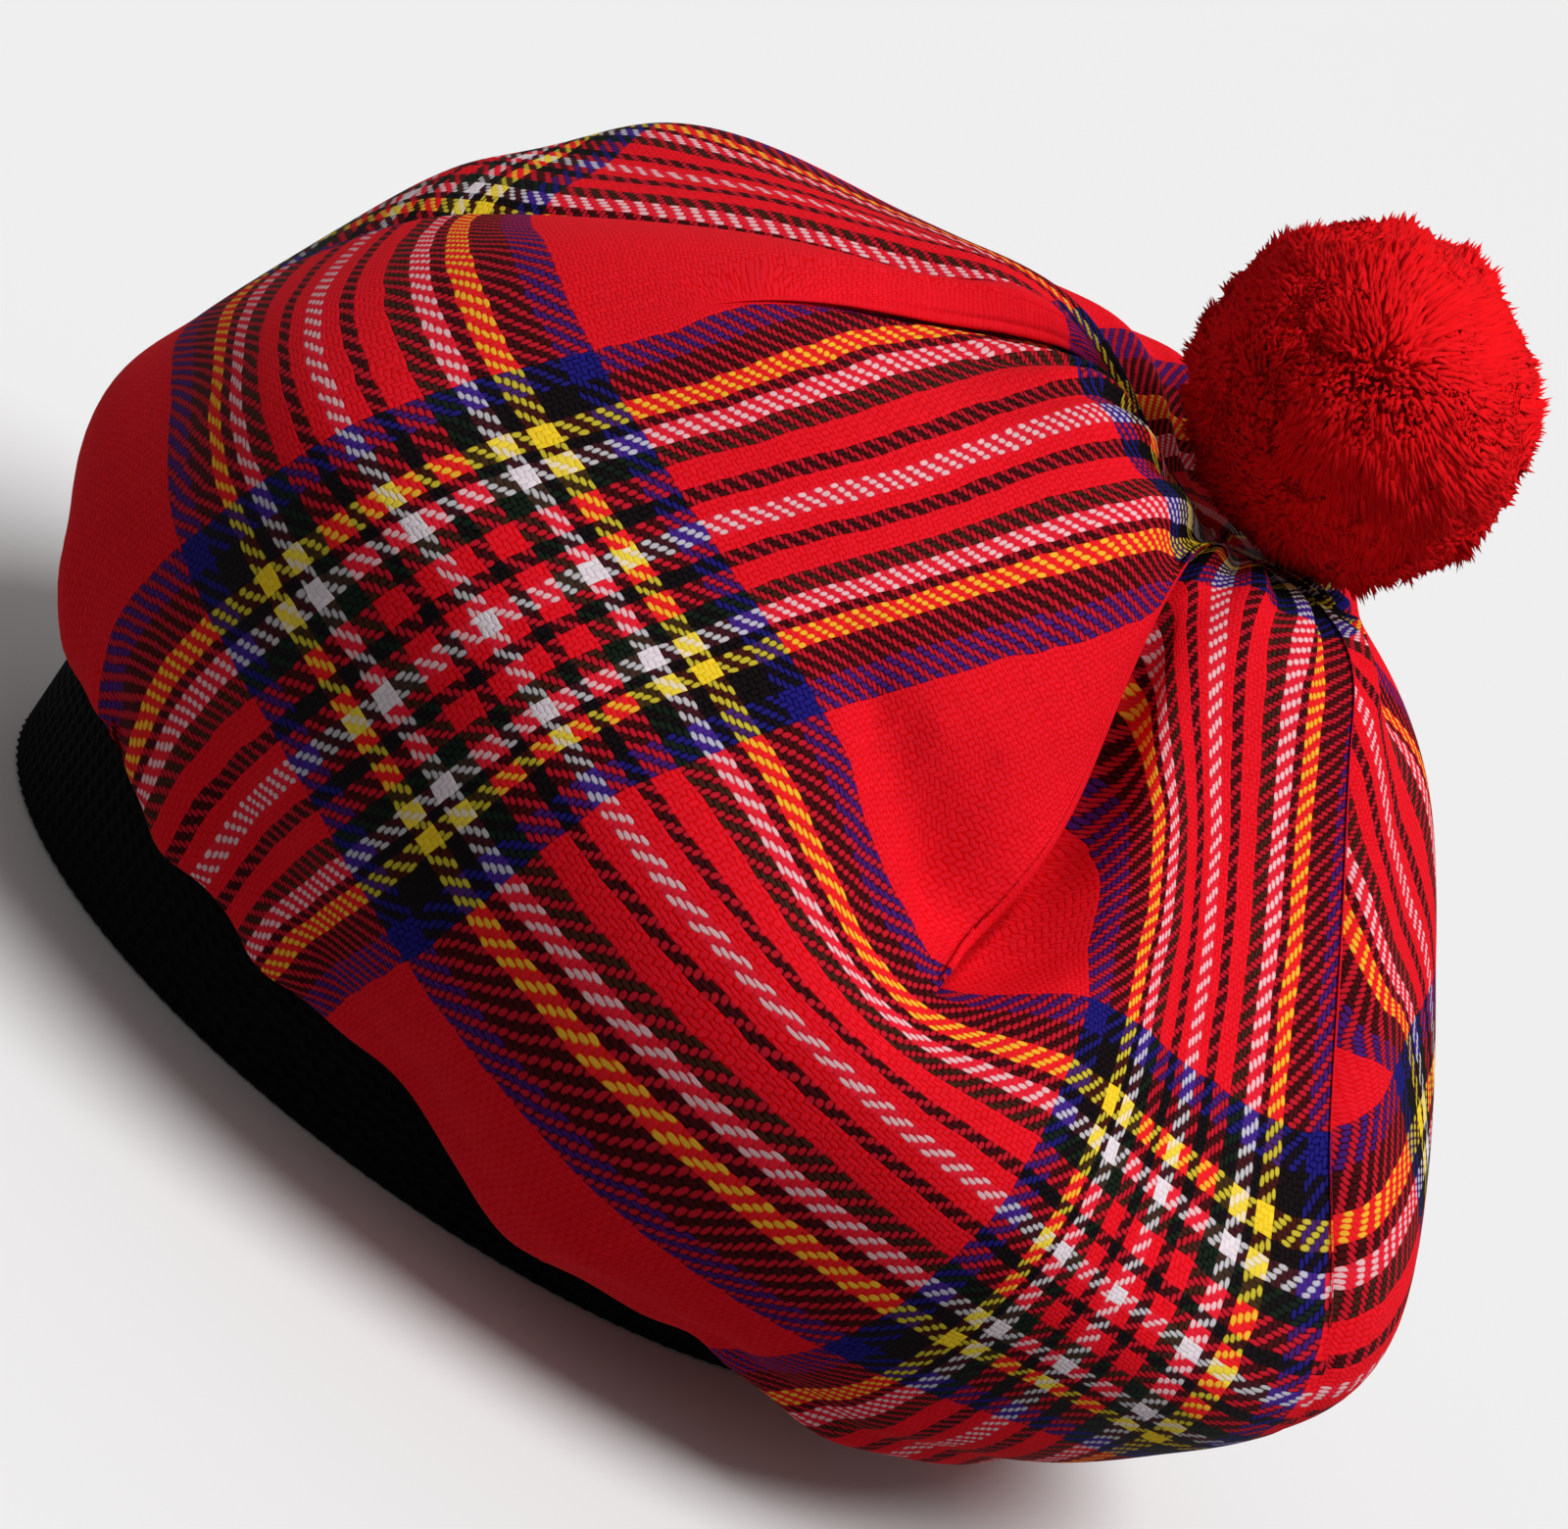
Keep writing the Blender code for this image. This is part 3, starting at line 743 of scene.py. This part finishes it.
def tartan():
    """The woven cloth, from the map of its threads."""
    surface, shader = principled("tartan_cloth", roughness=0.85)
    nodes = Nodes(surface)
    laid = nodes.add("ShaderNodeUVMap", uv_map="threads").outputs[0]
    place = nodes.add("ShaderNodeTexCoord").outputs["Object"]
    shift = nodes.vector("SUBTRACT", nodes.noise(place, 140.0, 2.0).outputs["Color"], (0.5, 0.5, 0.5))
    moved = nodes.vector("ADD", laid, nodes.vector("MULTIPLY", shift, (WANDER, WANDER, 0.0)))
    parts = nodes.add("ShaderNodeSeparateXYZ", {0: moved})
    # s counts the upright threads, and t the threads that run round
    s, row = parts.outputs[0], parts.outputs[1]
    above = nodes.maths("MAXIMUM", row, 0.0)
    squared = nodes.maths("MULTIPLY", above, above)
    extra = nodes.maths("MULTIPLY", nodes.maths("MULTIPLY", squared, above), CROWDING)
    t = nodes.maths("MULTIPLY_ADD", row, THREADS_A_ROW, extra)
    a_row = nodes.maths("MULTIPLY_ADD", squared, 3 * CROWDING, THREADS_A_ROW)
    s_whole, s_part = nodes.maths("FLOOR", s), nodes.maths("FRACT", s)
    t_whole, t_part = nodes.maths("FLOOR", t), nodes.maths("FRACT", t)
    # how far along its float each thread is, from 0 to 4; it is on top from 0 to 2
    along_s = nodes.maths("SUBTRACT", nodes.maths("ADD", t, 1.0), s_whole)
    along_s = nodes.maths("FLOORED_MODULO", along_s, 4.0)
    along_t = nodes.maths("SUBTRACT", nodes.maths("SUBTRACT", s, t_whole), 2.0)
    along_t = nodes.maths("FLOORED_MODULO", along_t, 4.0)
    s_on_top = nodes.maths("LESS_THAN", along_s, 2.0)
    # the thread on top shows as an oval, a little uneven
    across = nodes.choose(s_on_top, t_part, s_part)
    along = nodes.choose(s_on_top, along_t, along_s)
    off_middle = nodes.maths("POWER", nodes.maths("MULTIPLY_ADD", across, 2.0, -1.0), 2.0)
    off_centre = nodes.maths("POWER", nodes.maths("SUBTRACT", along, 1.0), 2.0)
    far = nodes.maths("SQRT", nodes.maths("ADD", off_middle, off_centre))
    lump = nodes.noise(place, 1100.0).outputs[0]
    far = nodes.maths("ADD", far, nodes.maths("MULTIPLY_ADD", lump, 0.6, -0.3))
    relief = nodes.soft_range(far, 1.2, 0.65)
    # the dye of the thread on top, tinted at its edges by the one that it covers: partly that thread's own
    # colour showing, partly painted shade where the float dips between threads
    s_dye = dye_of(nodes, nodes.maths("ADD", s_whole, 0.5))
    to_middle = nodes.maths("DIVIDE", nodes.maths("SUBTRACT", 0.5, t_part), a_row)
    t_dye = dye_of(nodes, nodes.maths("ADD", row, to_middle))
    top = nodes.mix(s_on_top, t_dye, s_dye)
    under = nodes.mix(s_on_top, s_dye, t_dye)
    tint = nodes.mix(1.0, under, UNDER_GLOW, "MULTIPLY")
    colour = nodes.mix(nodes.maths("MULTIPLY_ADD", relief, -0.66, 0.98), top, tint, "MULTIPLY")
    fluff = nodes.mix(1.0, nodes.mix(relief, top, under), FLUFF, "MULTIPLY")
    colour = nodes.mix(FLUFF_SHARE, colour, fluff, "ADD")
    # each thread is a little lighter or darker than the next, and painted shade darkens the gaps
    # between threads
    number = nodes.choose(s_on_top, t_whole, nodes.maths("ADD", s_whole, 0.25))
    uneven = nodes.add("ShaderNodeTexWhiteNoise", {"W": number}, noise_dimensions="1D").outputs[0]
    fibre = nodes.noise(place, 2600.0).outputs[0]
    # painted shade: a float is lighter at its middle and darker at its edges; uneven and fibre are its own
    # tone
    tone_and_painted_shade = nodes.maths("MULTIPLY_ADD", relief, 0.09, 0.66)
    tone_and_painted_shade = nodes.maths("MULTIPLY_ADD", uneven, 0.10, tone_and_painted_shade)
    tone_and_painted_shade = nodes.maths("MULTIPLY_ADD", fibre, 0.16, tone_and_painted_shade)
    nodes.tree.links.new(nodes.scaled(colour, tone_and_painted_shade), shader.inputs["Base Color"])
    high = nodes.maths("MULTIPLY_ADD", fibre, 0.25, relief)
    bump = nodes.add("ShaderNodeBump", {"Height": high, "Distance": 0.0003, "Strength": 0.32}).outputs[0]
    nodes.tree.links.new(bump, shader.inputs["Normal"])
    shader.inputs["Specular IOR Level"].default_value = 0.05
    return surface


crown = crown_shell(tartan())
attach(crown, "root")
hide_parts("tartan_crown")
print("crown:", len(crown.data.polygons), "faces")

# %% [markdown]
# ## Ribbed band
# The band is a strip of black rib knit, folded double. Its edge is seen against the floor, where a flat
# bump would give itself away, so the ribs are real: the band is an oval ring whose inner and outer
# faces swell and sink once for each rib. The stitches on a rib are too small for that, so they are a
# bump, and painted shade darkens the colour between them.

# %% Knit material
BLACK_YARN = (0.0034, 0.0030, 0.0034)


def knit():
    """Black rib knit: soft, with small stitches up each rib, and painted shade between the stitches."""
    surface, shader = principled("black_rib_knit", BLACK_YARN, 0.95)
    nodes = Nodes(surface)
    laid = nodes.add("ShaderNodeUVMap", uv_map="stitches").outputs[0]
    parts = nodes.add("ShaderNodeSeparateXYZ", {0: laid})
    across = nodes.maths("PINGPONG", parts.outputs[0], 0.5)
    slanted = nodes.maths("MULTIPLY_ADD", across, -1.2, parts.outputs[1])
    loop = nodes.maths("SINE", nodes.maths("MULTIPLY", slanted, 2 * np.pi))
    place = nodes.add("ShaderNodeTexCoord").outputs["Object"]
    fibre = nodes.noise(place, 1500.0, 2.0).outputs[0]
    high = nodes.maths("MULTIPLY_ADD", fibre, 0.8, loop)
    bump = nodes.add("ShaderNodeBump", {"Height": high, "Distance": 0.0003, "Strength": 0.7}).outputs[0]
    nodes.tree.links.new(bump, shader.inputs["Normal"])
    # painted shade: the stitches' tops lighter and the hollows between them darker, with an uneven fibre
    # tone
    tone_and_painted_shade = nodes.maths("MULTIPLY_ADD", nodes.maths("MULTIPLY", high, 0.5), 0.5, 0.7)
    nodes.tree.links.new(nodes.scaled((*BLACK_YARN, 1.0), tone_and_painted_shade), shader.inputs["Base Color"])
    shader.inputs["Specular IOR Level"].default_value = 0.1
    return surface


rib_knit = knit()
print("the knit's colour:", BLACK_YARN)

# %% Band
RIBS = 172
COLUMNS_A_RIB = 6
RIB_DEPTH = 0.55
OUTER_STEPS, INNER_STEPS, ROUND_STEPS = 14, 8, 6
STITCHES_A_STEP = 1.1


def band_profile():
    """Round the wall: how far out, how high, and how much of the rib's depth shows there."""
    half = BAND_WALL / 2
    tall = BAND_HEIGHT - 2 * half
    points = []
    for k in range(OUTER_STEPS + 1):
        points.append((0.0, half + tall * k / OUTER_STEPS, 1.0))
    for k in range(1, ROUND_STEPS):
        a = np.pi * k / ROUND_STEPS
        points.append((-half + half * np.cos(a), half + tall + half * np.sin(a), abs(np.cos(a))))
    for k in range(INNER_STEPS + 1):
        points.append((-BAND_WALL, half + tall * (INNER_STEPS - k) / INNER_STEPS, -1.0))
    for k in range(1, ROUND_STEPS):
        a = np.pi * k / ROUND_STEPS
        points.append((-half - half * np.cos(a), half - half * np.sin(a), -abs(np.cos(a))))
    return points


def ribbed_band(surface):
    """The oval ring of ribs."""
    count = RIBS * COLUMNS_A_RIB
    even = np.linspace(0, 2 * np.pi, 4001)
    line = np.stack([BAND_HALF_LENGTH * np.sin(even), -BAND_HALF_WIDTH * np.cos(even)], axis=1)
    arc = np.r_[0.0, np.cumsum(np.linalg.norm(np.diff(line, axis=0), axis=1))]
    angle = np.interp(np.arange(count) / count * arc[-1], arc, even)
    out_x, out_y = np.sin(angle) / BAND_HALF_LENGTH, -np.cos(angle) / BAND_HALF_WIDTH
    size = np.hypot(out_x, out_y)
    rib = np.abs(np.sin(np.pi * np.arange(count) / COLUMNS_A_RIB)) ** 0.8
    rings = []
    for out, tall, share in band_profile():
        reach = out - RIB_DEPTH * share * (1 - rib)
        x = BAND_HALF_LENGTH * np.sin(angle) + reach * out_x / size
        y = -BAND_HALF_WIDTH * np.cos(angle) + reach * out_y / size
        rings.append(np.stack([x, y, np.full(count, tall)], axis=1))
    number = np.arange(len(rings) * count).reshape(-1, count)
    bands = [(number[i], number[(i + 1) % len(rings)]) for i in range(len(rings))]
    faces = np.concatenate([ring_quads(*band) for band in bands])
    piece = add_piece("ribbed_band", np.concatenate(rings), faces, surface)
    column = np.tile(np.arange(count), len(bands))
    ring = np.repeat(np.arange(len(bands)), count)
    u = np.stack([column, column + 1, column + 1, column], axis=1) / COLUMNS_A_RIB
    v = np.stack([ring, ring, ring + 1, ring + 1], axis=1)
    set_map(piece, "stitches", np.stack([u, v * STITCHES_A_STEP], axis=-1))
    return piece


band = ribbed_band(rib_knit)
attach(band, "root")
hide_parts("rib_headband")
print("band:", len(band.data.polygons), "faces")

# %% [markdown]
# ## Wool
# Wool is bright where strands catch the light and soft all over, since light goes from strand to strand
# inside the ball. Tracing that through thousands of strands would be slow. Instead each strand is lit
# partly as a strand and partly as one smooth ball, and painted shade makes its root darker than its
# tip.

# %% Wool material
POMPOM_AT = (56.0, -8.0, 179.0)
# the wool's colour runs from the root's red, darkened as painted shade, to the tip's red
PAINTED_SHADE_ROOT_RED = (0.62, 0.002, 0.004, 1.0)
TIP_RED = (0.90, 0.008, 0.012, 1.0)
AS_BALL = 0.62  # how much of the light falls as on one ball


def wool():
    """Red wool, darker at the roots as painted shade, and a little different from strand to strand."""
    surface, shader = principled("pompom_wool", roughness=0.9)
    nodes = Nodes(surface)
    shade = nodes.add("ShaderNodeAttribute", attribute_name="shade").outputs["Fac"]
    ramp = nodes.add("ShaderNodeValToRGB", {0: shade})
    ramp.color_ramp.elements[0].color = PAINTED_SHADE_ROOT_RED
    ramp.color_ramp.elements[1].color = TIP_RED
    nodes.tree.links.new(ramp.outputs[0], shader.inputs["Base Color"])
    here = nodes.add("ShaderNodeNewGeometry").outputs
    middle = (Vector(POMPOM_AT) + Vector((*BAND_AT, 0.0))) * MM
    ball = nodes.vector("NORMALIZE", nodes.vector("SUBTRACT", here["Position"], middle))
    inputs = {0: AS_BALL, 4: here["Normal"], 5: ball}
    both = nodes.add("ShaderNodeMix", inputs, data_type="VECTOR").outputs[1]
    nodes.tree.links.new(nodes.vector("NORMALIZE", both), shader.inputs["Normal"])
    shader.inputs["Specular IOR Level"].default_value = 0.05
    return surface


red_wool = wool()
print("wool goes from", PAINTED_SHADE_ROOT_RED[:3], "at the root to", TIP_RED[:3], "at the tip")

# %% [markdown]
# ## Directions and waves
# A pompom is hundreds of wool ends tied at the middle and clipped round. Its strands need directions
# that are even but not regular, and tips that are clipped a little unevenly: sums of a few random waves
# give lobes as broad as a finger's tip.

# %% Ball helpers
def spread_over_ball(count):
    """Even directions over a ball, along a golden-angle spiral."""
    i = np.arange(count) + 0.5
    z = 1 - 2 * i / count
    turn = i * np.pi * (3 - np.sqrt(5))
    flat = np.sqrt(1 - z * z)
    return np.stack([flat * np.cos(turn), flat * np.sin(turn), z], axis=1)


def unit(vectors):
    """The same directions, one long."""
    return vectors / np.maximum(np.linalg.norm(vectors, axis=-1, keepdims=True), 1e-9)


def waves(points, count, size, draw):
    """A smooth random value from -1 to 1 for each point: a sum of waves about size long."""
    ways = unit(draw.normal(size=(count, 3))) * (2 * np.pi / size)
    ways *= draw.uniform(0.7, 1.4, size=(count, 1))
    phase = draw.uniform(0, 2 * np.pi, count)
    return np.sin(points @ ways.T + phase).sum(axis=1) / np.sqrt(count / 2) / 2


print("three even directions:", np.round(spread_over_ball(3), 2).tolist())

# %% [markdown]
# ## Strands
# A ball with a bump looks like felt, and Blender's hair isn't kept in an exported model. So a core
# carries thousands of short strands, each a three-sided spike with a ring at its root and another half
# way. They are drawn together in small clumps, and combed away from a parting that faces the front.

# %% Strand sizes
CORE = 26.4
TIP = 28.8  # from the ball's middle to an ordinary tip
STRANDS = 16000
CLUMPS = 700
LOBES = 1.1  # how far the broad lobes swell and sink
UNEVEN_STRAND, UNEVEN_CLUMP = 0.45, 0.75
SWAY = 0.09
DRAWN = 0.35  # how far tips are drawn towards the middle of their clump
PARTING = (-0.15, -0.92, 0.35)
COMBED_SIDE = (0.80, -0.35, 0.50)
COMBED = 0.42  # how far a combed tip leans, as a share of its distance from the middle
ROOT_DEEP, MIDDLE_HIGH = 1.5, 2.2  # below and above the core's surface
# painted shade on the wool: darkest at the root, lighter half way, lightest at the tip, the core darker
STRAND_RINGS = ((0.65, 0.35), (0.66, 0.6))  # half width and shade at the root and half way
TIP_SHADE = 0.85
CORE_SHADE = 0.7
UNEVEN_SHADE = (0.09, 0.08)  # from strand to strand, and from clump to clump
POMPOM_FLAT = 150.6  # the height at which the gather flattens the ball
SQUEEZED = (0.81, 0.17, 0.56)  # the way that the pompom is a little narrower
SQUEEZE, SQUEEZE_SHIFT = 0.05, 0.5
print(STRANDS // CLUMPS, "strands in a clump")


# %% Pompom
def strand_lines(draw):
    """Each strand's root, middle and tip, and the clump that it belongs to."""
    root = spread_over_ball(STRANDS)
    root = unit(root + draw.normal(scale=0.008, size=root.shape))
    clump = spread_over_ball(CLUMPS)
    clump = unit(clump + draw.normal(scale=0.03, size=clump.shape))
    nearest = np.concatenate([np.argmax(part @ clump.T, axis=1) for part in np.array_split(root, 8)])
    length = TIP + LOBES * waves(root * TIP, 12, 15.0, draw)
    length += draw.normal(scale=UNEVEN_STRAND, size=STRANDS)
    length += draw.normal(scale=UNEVEN_CLUMP, size=CLUMPS)[nearest]
    lean = np.stack([waves(root * TIP, 10, 22.0, draw) for axis in range(3)], axis=1) * SWAY
    # the wool is combed away from the parting, most of all on the side away from the cloth
    parting = unit(np.array(PARTING))
    facing = root @ parting
    from_parting = root - facing[:, None] * parting
    aside = np.linalg.norm(from_parting, axis=1)
    combed = COMBED * ease(root @ unit(np.array(COMBED_SIDE)), -0.25, 0.45) * ease(facing, -0.6, 0.3)
    lean += (combed * ease(aside, 0.0, 0.55))[:, None] * unit(from_parting)
    # clumps are drawn together least at the parting, where the wool stands towards the viewer
    loose = ease(aside, 0.1, 0.75) + ease(-facing, 0.0, 0.3)
    pull = (clump[nearest] - root) * (DRAWN * np.clip(loose, 0.15, 1.0))[:, None]
    tip_way = unit(root + pull + lean + draw.normal(scale=0.022, size=root.shape))
    mid_way = unit(root + 0.35 * pull + 0.45 * lean)
    lines = root * (CORE - ROOT_DEEP), mid_way * (CORE + MIDDLE_HIGH), tip_way * length[:, None]
    return lines, tip_way, nearest


def wool_pompom(surface):
    """The strands, as one mesh."""
    draw = np.random.default_rng(7)
    (start, middle, tip), tip_way, nearest = strand_lines(draw)
    side = unit(np.cross(tip_way, draw.normal(size=tip_way.shape)))
    other = unit(np.cross(tip_way, side))
    points, shades = [], []
    # painted shade: each strand is darker at its root ring than half way, and lightest at its tip
    for centre, (wide, shade) in zip((start, middle), STRAND_RINGS):
        for k in range(3):
            a = 2 * np.pi * k / 3
            points.append(centre + wide * (np.cos(a) * side + np.sin(a) * other))
            shades.append(np.full(STRANDS, shade))
    points.append(tip)
    shades.append(np.full(STRANDS, TIP_SHADE))
    tone = draw.normal(scale=UNEVEN_SHADE[0], size=STRANDS)
    tone += draw.normal(scale=UNEVEN_SHADE[1], size=CLUMPS)[nearest]
    shades = np.clip(np.stack(shades, axis=1) + tone[:, None], 0.0, 1.0)
    points = np.stack(points, axis=1).reshape(-1, 3)
    first = np.arange(STRANDS)[:, None] * 7
    corners = []
    for k in range(3):
        n = (k + 1) % 3
        corners += [(k, n, 3 + n), (k, 3 + n, 3 + k), (3 + k, 3 + n, 6)]
    faces = np.concatenate([first + np.array(corner) for corner in corners])
    narrow = unit(np.array(SQUEEZED))
    points -= (points @ narrow)[:, None] * SQUEEZE * narrow + SQUEEZE_SHIFT * narrow
    points += POMPOM_AT
    points[:, 2] = np.maximum(points[:, 2], POMPOM_FLAT)
    piece = add_piece("wool_pompom", points, faces, surface)
    layer = piece.data.attributes.new("shade", "FLOAT", "POINT")
    layer.data.foreach_set("value", shades.ravel().astype(np.float32))
    return piece


def pompom_core(surface):
    """The ball under the strands."""
    bpy.ops.mesh.primitive_ico_sphere_add(subdivisions=5, radius=CORE * MM)
    core = bpy.context.object
    core.name = "pompom_core"
    core.location = (Vector(POMPOM_AT) + Vector((*BAND_AT, 0.0))) * MM
    core.data.materials.append(surface)
    core.data.shade_smooth()
    # the core under the strands takes a darker painted shade
    layer = core.data.attributes.new("shade", "FLOAT", "POINT")
    layer.data.foreach_set("value", np.full(len(core.data.vertices), CORE_SHADE, np.float32))
    return core


pompom = wool_pompom(red_wool)
core = pompom_core(red_wool)
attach(pompom, "root")
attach(core, "root")
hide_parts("pompom")
print("pompom:", len(pompom.data.polygons), "faces")

# %% [markdown]
# ## Cloth facts and size
# The crown is one sheet, so its flat size is stated: 780 threads round and 264 rows high, 0.93 mm each.
